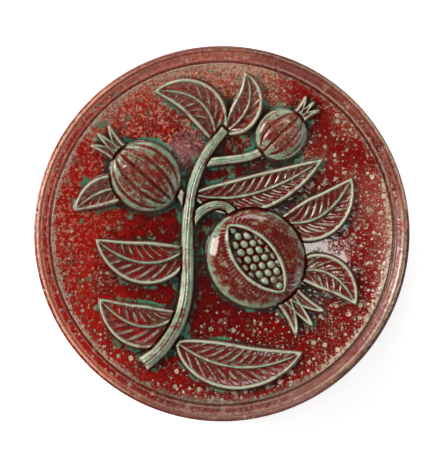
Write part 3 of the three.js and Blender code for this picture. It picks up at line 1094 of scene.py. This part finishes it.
def addFlecks(s, colour, flecked):
    crowd = s.total(broad=1.2, middling=0.9, radius=0.0045, across=0.0011, upward=-0.0003, upperRight=-0.24)
    pits = []
    for fleck in flecks:
        cell = fleck["cell"]
        far, kind, shaded = s.dots(cell, *fleck["radii"], fleck["seed"])
        shown = s.steps(crowd, fleck["from"], fleck["from"] + 0.35, 0, flecked)
        ring = s.times(s.steps(far, 1.0 / cell, 0.3 / cell), shown)
        # the ring is darker on the upper-left side of each pit: painted shade
        ring = s.times(ring, s.steps(shaded, -0.5, 0.9, 0.12, 0.75))
        colour = s.mix(ring, colour, "speckRim")
        dot = s.times(s.steps(far, 0.35 / cell, -0.35 / cell), shown)
        tint = s.mix(s.steps(kind, 0.45, 0.6), "speck", "greenSpeck")
        colour = s.mix(s.times(dot, fleck["plain"]), colour, tint)
        dimple = s.times(s.steps(far, 2.6 / cell, -0.6 / cell), shown)
        pits.append((dot, -glazeLook["crater"] * fleck["deep"]))
        pits.append((dimple, -glazeLook["dimple"] * fleck["deep"]))
    return colour, pits


def addPools(s, colour):
    # the green of pooled ash, the dark of a deep pool, and turquoise beside the relief; the dark of the
    # hollows and creases is pooled glaze and also painted shade between the forms and at their feet
    ash = s.total((s.noise(11, 3, 0.55, 0.5, 21), 1), pool=0.05, fine=0.2, across=-0.0003, upward=0.0002)
    colour = s.lay(colour, "patina", ash)
    colour = s.lay(colour, "turquoise", ash)
    colour = s.lay(colour, "hollow", s.total(pool=1, middling=4, broad=2))
    patches = s.steps(s.total((s.noise(26, 3, 0.6, 0.5, 81), 1), middling=0.6), 0.54, 0.62)
    patches = s.times(patches, s.calc("SUBTRACT", 1.0, "onRim"))
    colour = s.lay(colour, "besideRelief", s.total(depth=1, pool=0.15, fine=1.6), "turquoise", patches)
    return s.lay(colour, "crease", s.total(depth=1, fine=0.8, middling=0.6))


def reliefColour(s, colour, paler, raised):
    # thin glaze breaks over each raised edge
    thin = s.calc("ADD", s.total(depth=-1, fine=1.3, middling=1.7), paler)
    muddy = s.steps(s.total(middling=1, broad=0.6, fine=0.8), -0.22, 0.12, 0.25, 0.85)
    colour = s.mix(s.times(muddy, raised), colour, "mud")
    colour = s.lay(colour, "broken", thin)
    pale = s.mix(s.steps(s.calc("ADD", "fine", "middling"), -0.12, 0.14), "greenPale", "celadon")
    colour = s.lay(colour, "pale", thin, pale)
    colour = s.lay(colour, "cream", thin)
    return s.lay(colour, "worn", s.noise(9, 4, 0.65, 0.5, 41), "broken", s.steps(thin, 0.3, 0.6))


# The rim's colours follow its mouldings. Each band has the radius of its middle, half its width and a tone,
# and then how plain it is where the rim is red and where it is milky. The red side is also the lit left and
# the milky side the shaded right, so some bands are painted light: a painted highlight on the lip's crest,
# and painted shade on the lip's outer side and in the groove on the right
rimBands = [
    (188.6, 2.4, "rimRose", 0.9, 0.0),
    (188.4, 2.4, "rimCream", 0.0, 0.86),
    (185.0, 0.9, "rimGroove", 0.0, 0.3),
    (183.3, 1.7, "red", 0.45, 0.0),
    (180.5, 1.0, "rimRose", 0.5, 0.0),
    # painted shade widening the groove on the right
    (179.9, 1.7, "rimShade", 0.0, 0.7),
    (190.4, 0.6, "rimGroove", 0.15, 0.1),
    # painted highlight on the lip's crest
    (191.8, 1.8, "rimLine", 0.95, 0.0),
    # painted shade on the lip's outer side, and on the outermost roll
    (192.0, 2.6, "rimShade", 0.0, 1.0),
    (194.3, 1.5, "rimGroove", 0.5, 0.85),
]
# or the part of the rim that it keeps to, and how plain it is there
partBands = [
    (181.3, 1.2, "rimCream", "upperRight", 0.6),
    (192.1, 1.3, "rimCream", "upperRight", 0.75),
    (189.0, 1.8, "rimCream", "bottom", 0.4),
    (181.0, 1.3, "rimCream", "bottom", 0.35),
    (193.2, 2.4, "rimGroove", "top", 0.6),
]


def rimColour(s, colour):
    milky = s.total(across=0.0055, upward=-0.002, broad=2.8, middling=1.8, upperRight=-1.4)
    s.maps["milky"] = s.steps(milky, -0.3, 1.0)
    colour = s.mix(s.times("milky", 0.8), colour, "rimPink")
    colour = s.lay(colour, "pinkTop", "upward", "rimPink")
    # the rim darkens towards the bottom: painted shade
    colour = s.lay(colour, "dimBottom", "upward", "rimShade")
    colour = s.mix(s.times("upperRight", 0.55), colour, "rimGroove")
    streaks = s.total(grain=0.6, middling=0.9, milky=0.1, across=0.0006)
    colour = s.lay(colour, "rimStreaks", streaks, "rimPink")

    aside = s.times("across", s.steps("radius", 180.5, 186, 0, dish["ringsAside"] / 187))
    uneven = s.total((s.calc("SUBTRACT", "radius", aside), 1), middling=3, fine=3)
    ringed = s.steps(s.total(upward=1, middling=60), -185, -135, 0.12, 1)
    ringed = s.times(ringed, s.steps("upperRight", 0, 1, 1, 0.2))
    ringed = s.times(ringed, s.steps("upward", 135, 180, 1, 0.25))

    def addBand(colour, middle, half, sharp, bandTone, share):
        off = s.calc("ABSOLUTE", s.calc("SUBTRACT", uneven, middle))
        return s.mix(s.times(s.steps(off, half, sharp * half), share), colour, bandTone)

    for middle, half, bandTone, onRed, onMilk in rimBands:
        share = s.times(s.steps("milky", 0.1, 0.9, onRed, onMilk), ringed)
        colour = addBand(colour, middle, half, 0.35, bandTone, share)
    for middle, half, bandTone, where, plain in partBands:
        colour = addBand(colour, middle, half, 0.3, bandTone, s.times(where, plain))
    colour = s.lay(colour, "rimGrit", "grit", "rimGroove")
    # the grooves darken where the glaze lies deep: pooled glaze, and painted shade in the grooves
    shade = s.mix("milky", "rimGroove", "rimShade")
    return s.lay(colour, "sunken", s.total(depth=1, fine=0.5), shade, s.steps("radius", 184, 182))


def addFringe(s, colour):
    # a frayed pale fringe on the field's edge, widest at the lower right and the upper left
    diagonal = s.times("across", s.times("upward", 1 / 15000))
    frayed = s.total(
        (diagonal, -0.3), radius=1, broad=9, middling=11, fine=8, grit=15, across=0.004, upperRight=-4.5
    )
    fringe = s.times(s.steps(frayed, 179.0, 182.5), s.steps("radius", 177.9, 177.2))
    fringed = s.mix(s.steps(s.total(across=0.01, middling=3, fine=2), -1.0, 0.6), "frost", "fringe")
    fringed = s.lay(fringed, "dustyTop", "upward", "dust")
    fringed = s.lay(fringed, "dullFringe", "upward")
    pitted = s.total((s.noise(2.6, 3, 0.55, 0.3, 52), 1), middling=0.4)
    holes = s.steps(pitted, 0.48, 0.58, 1, 0.1)
    return s.mix(s.times(s.times(fringe, holes), 0.95), colour, fringed)


def oxblood(name, paler=0.0, flecked=1.0, raised=0.0):
    # copper red that goes green and cream where it ran thin, and dark where it lies thick
    s = Surface(name, glazeTones)
    shareMaps(s)
    colour, pits = addFlecks(s, fieldColour(s), flecked)
    colour = addPools(s, colour)
    colour = s.mix("onRim", reliefColour(s, colour, paler, raised), rimColour(s, colour))
    s.feed(s.shader.inputs["Base Color"], addFringe(s, colour))
    peel = (s.noise(3.2, 2, 0.5, 0, 30), glazeLook["orangePeel"])
    ripple = (s.noise(13, 2, 0.5, 0, 33), glazeLook["ripple"])
    s.bump(s.total(peel, ripple, *pits))
    s.uniform({"Roughness": glazeLook["roughness"], "IOR": glazeLook["refraction"]})
    return s.material


clayTones = {
    "clay": tone(178, 150, 122),
    "darkClay": tone(156, 128, 102),
    "iron": tone(74, 56, 46),
    "glazeEdge": tone(104, 60, 44),
    "glaze": tone(88, 12, 12),
}


def stoneware(name):
    # fired clay with iron specks, and the glaze's brown edge where it stops on the foot
    s = Surface(name, clayTones)
    height = s.add("SeparateXYZ", {0: s.place}).outputs[2]
    clay = s.mix(s.steps(s.noise(14, 4, 0.6), 0.35, 0.7), "clay", "darkClay")
    clay = s.mix(s.steps(s.noise(1.1, 2, 0.5), 0.62, 0.7, 0, 0.6), clay, "iron")
    edge = s.total((height, 1 / mm), (s.swing(9, 3, 0.5), 5))
    colour = s.mix(s.steps(edge, 12.5, 13.3), clay, "glazeEdge")
    colour = s.mix(s.steps(edge, 13.6, 14.6), colour, "glaze")
    s.feed(s.shader.inputs["Base Color"], colour)
    s.feed(s.shader.inputs["Roughness"], s.steps(edge, 12.8, 13.8, 0.82, 0.2))
    s.bump(s.total((s.noise(1.4, 3, 0.6), 0.25)))
    return s.material


print("materials")
finishes = {
    "oxblood_glaze": oxblood("oxblood glaze"),
    "relief_glaze": oxblood("oxblood glaze over relief", 0.1, 0.55, 0.8),
    "pale_glaze": oxblood("oxblood glaze over seeds", 0.25, 0.2, 0.8),
    "bare_stoneware": stoneware("bare stoneware"),
}
finishOf = {"dish_body": "oxblood_glaze", "foot_ring": "bare_stoneware", "seed_cluster": "pale_glaze"}

for name, obj in made.items():
    faceOutward(obj)
    finish = finishOf.get(name, "relief_glaze")
    obj.data.materials.clear()
    obj.data.materials.append(finishes[finish])
    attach(obj, "root")
    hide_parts(name)


print("stage: a white floor, a pale room, softboxes and the camera")

studio = {
    "floorSize": 120.0,
    "floorWhite": 0.8,
    "floorLift": (0.75, 1.0),  # what the camera sees added to the floor, near the dish and far from it
    "liftFrom": (0.7, 2.5),
    "zenith": 0.05,
    "horizon": 0.36,
    "fallFrom": (0.2, 0.85),
}

bpy.ops.mesh.primitive_plane_add(size=studio["floorSize"])
floor = bpy.context.object
floor.name = "floor"
ground = Surface("white floor")
ground.uniform({"Base Color": (*[studio["floorWhite"]] * 3, 1), "Emission Color": (1, 1, 1, 1)})
ground.uniform({"Roughness": 0.9, "Specular IOR Level": 0.0})
seen = ground.add("LightPath").outputs["Is Camera Ray"]
away = ground.add("VectorMath", {0: ground.place}, operation="LENGTH").outputs["Value"]
lift = ground.steps(away, *studio["liftFrom"], *studio["floorLift"])
ground.feed(ground.shader.inputs["Emission Strength"], ground.times(seen, lift))
floor.data.materials.append(ground.material)

world = bpy.data.worlds.new("room")
bpy.context.scene.world = world
world.use_nodes = True
sky = world.node_tree.nodes["Background"]
sky.inputs["Color"].default_value = (1, 1, 1, 1)
room = Nodes(world.node_tree)
upward = room.add("SeparateXYZ", {0: room.add("TexCoord").outputs["Generated"]}).outputs[2]
fall = room.steps(upward, *studio["fallFrom"], studio["horizon"], studio["zenith"])
brightest = room.calc("MAXIMUM", fall, room.add("LightPath").outputs["Is Camera Ray"])
room.feed(sky.inputs["Strength"], brightest)

lamps = {
    "key_softbox": {"at": (-0.36, 0.06, 1.6), "size": (0.12, 0.56), "power": 2.35, "tint": (1, 0.93, 0.85)},
    "sheen_softbox": {"at": (0.2, -0.29, 1.6), "size": (0.22, 0.2), "power": 0.26, "tint": (1, 0.93, 0.92)},
    "side_softbox": {"at": (-1.55, 0.35, 0.8), "size": (0.6, 1.2), "power": 28.5, "tint": (1, 0.96, 0.9)},
    "fill_softbox": {"at": (1.3, -0.7, 1), "size": (0.9, 0.9), "power": 4.3, "tint": (1, 0.98, 0.96)},
    "top_softbox": {"at": (-0.2, 1.5, 1.1), "size": (1.2, 0.5), "power": 9.6, "tint": (1, 1, 1)},
}
for name, lamp in lamps.items():
    data = bpy.data.lights.new(name, "AREA")
    data.shape = "RECTANGLE"
    data.size, data.size_y = lamp["size"]
    data.energy = lamp["power"]
    data.color = lamp["tint"]
    box = addObject(name, data, lamp["at"])
    box.rotation_euler = (-Vector(lamp["at"])).to_track_quat("-Z", "Y").to_euler()

view = {"lens": 150, "sensor": 36, "farthest": 200, "at": (0.0023, -0.00135, 2.085)}

lens = bpy.data.cameras.new("camera")
lens.lens = view["lens"]
lens.sensor_width = view["sensor"]
lens.clip_end = view["farthest"]
bpy.context.scene.camera = addObject("camera", lens, view["at"])
bpy.context.scene.view_settings.view_transform = "Standard"
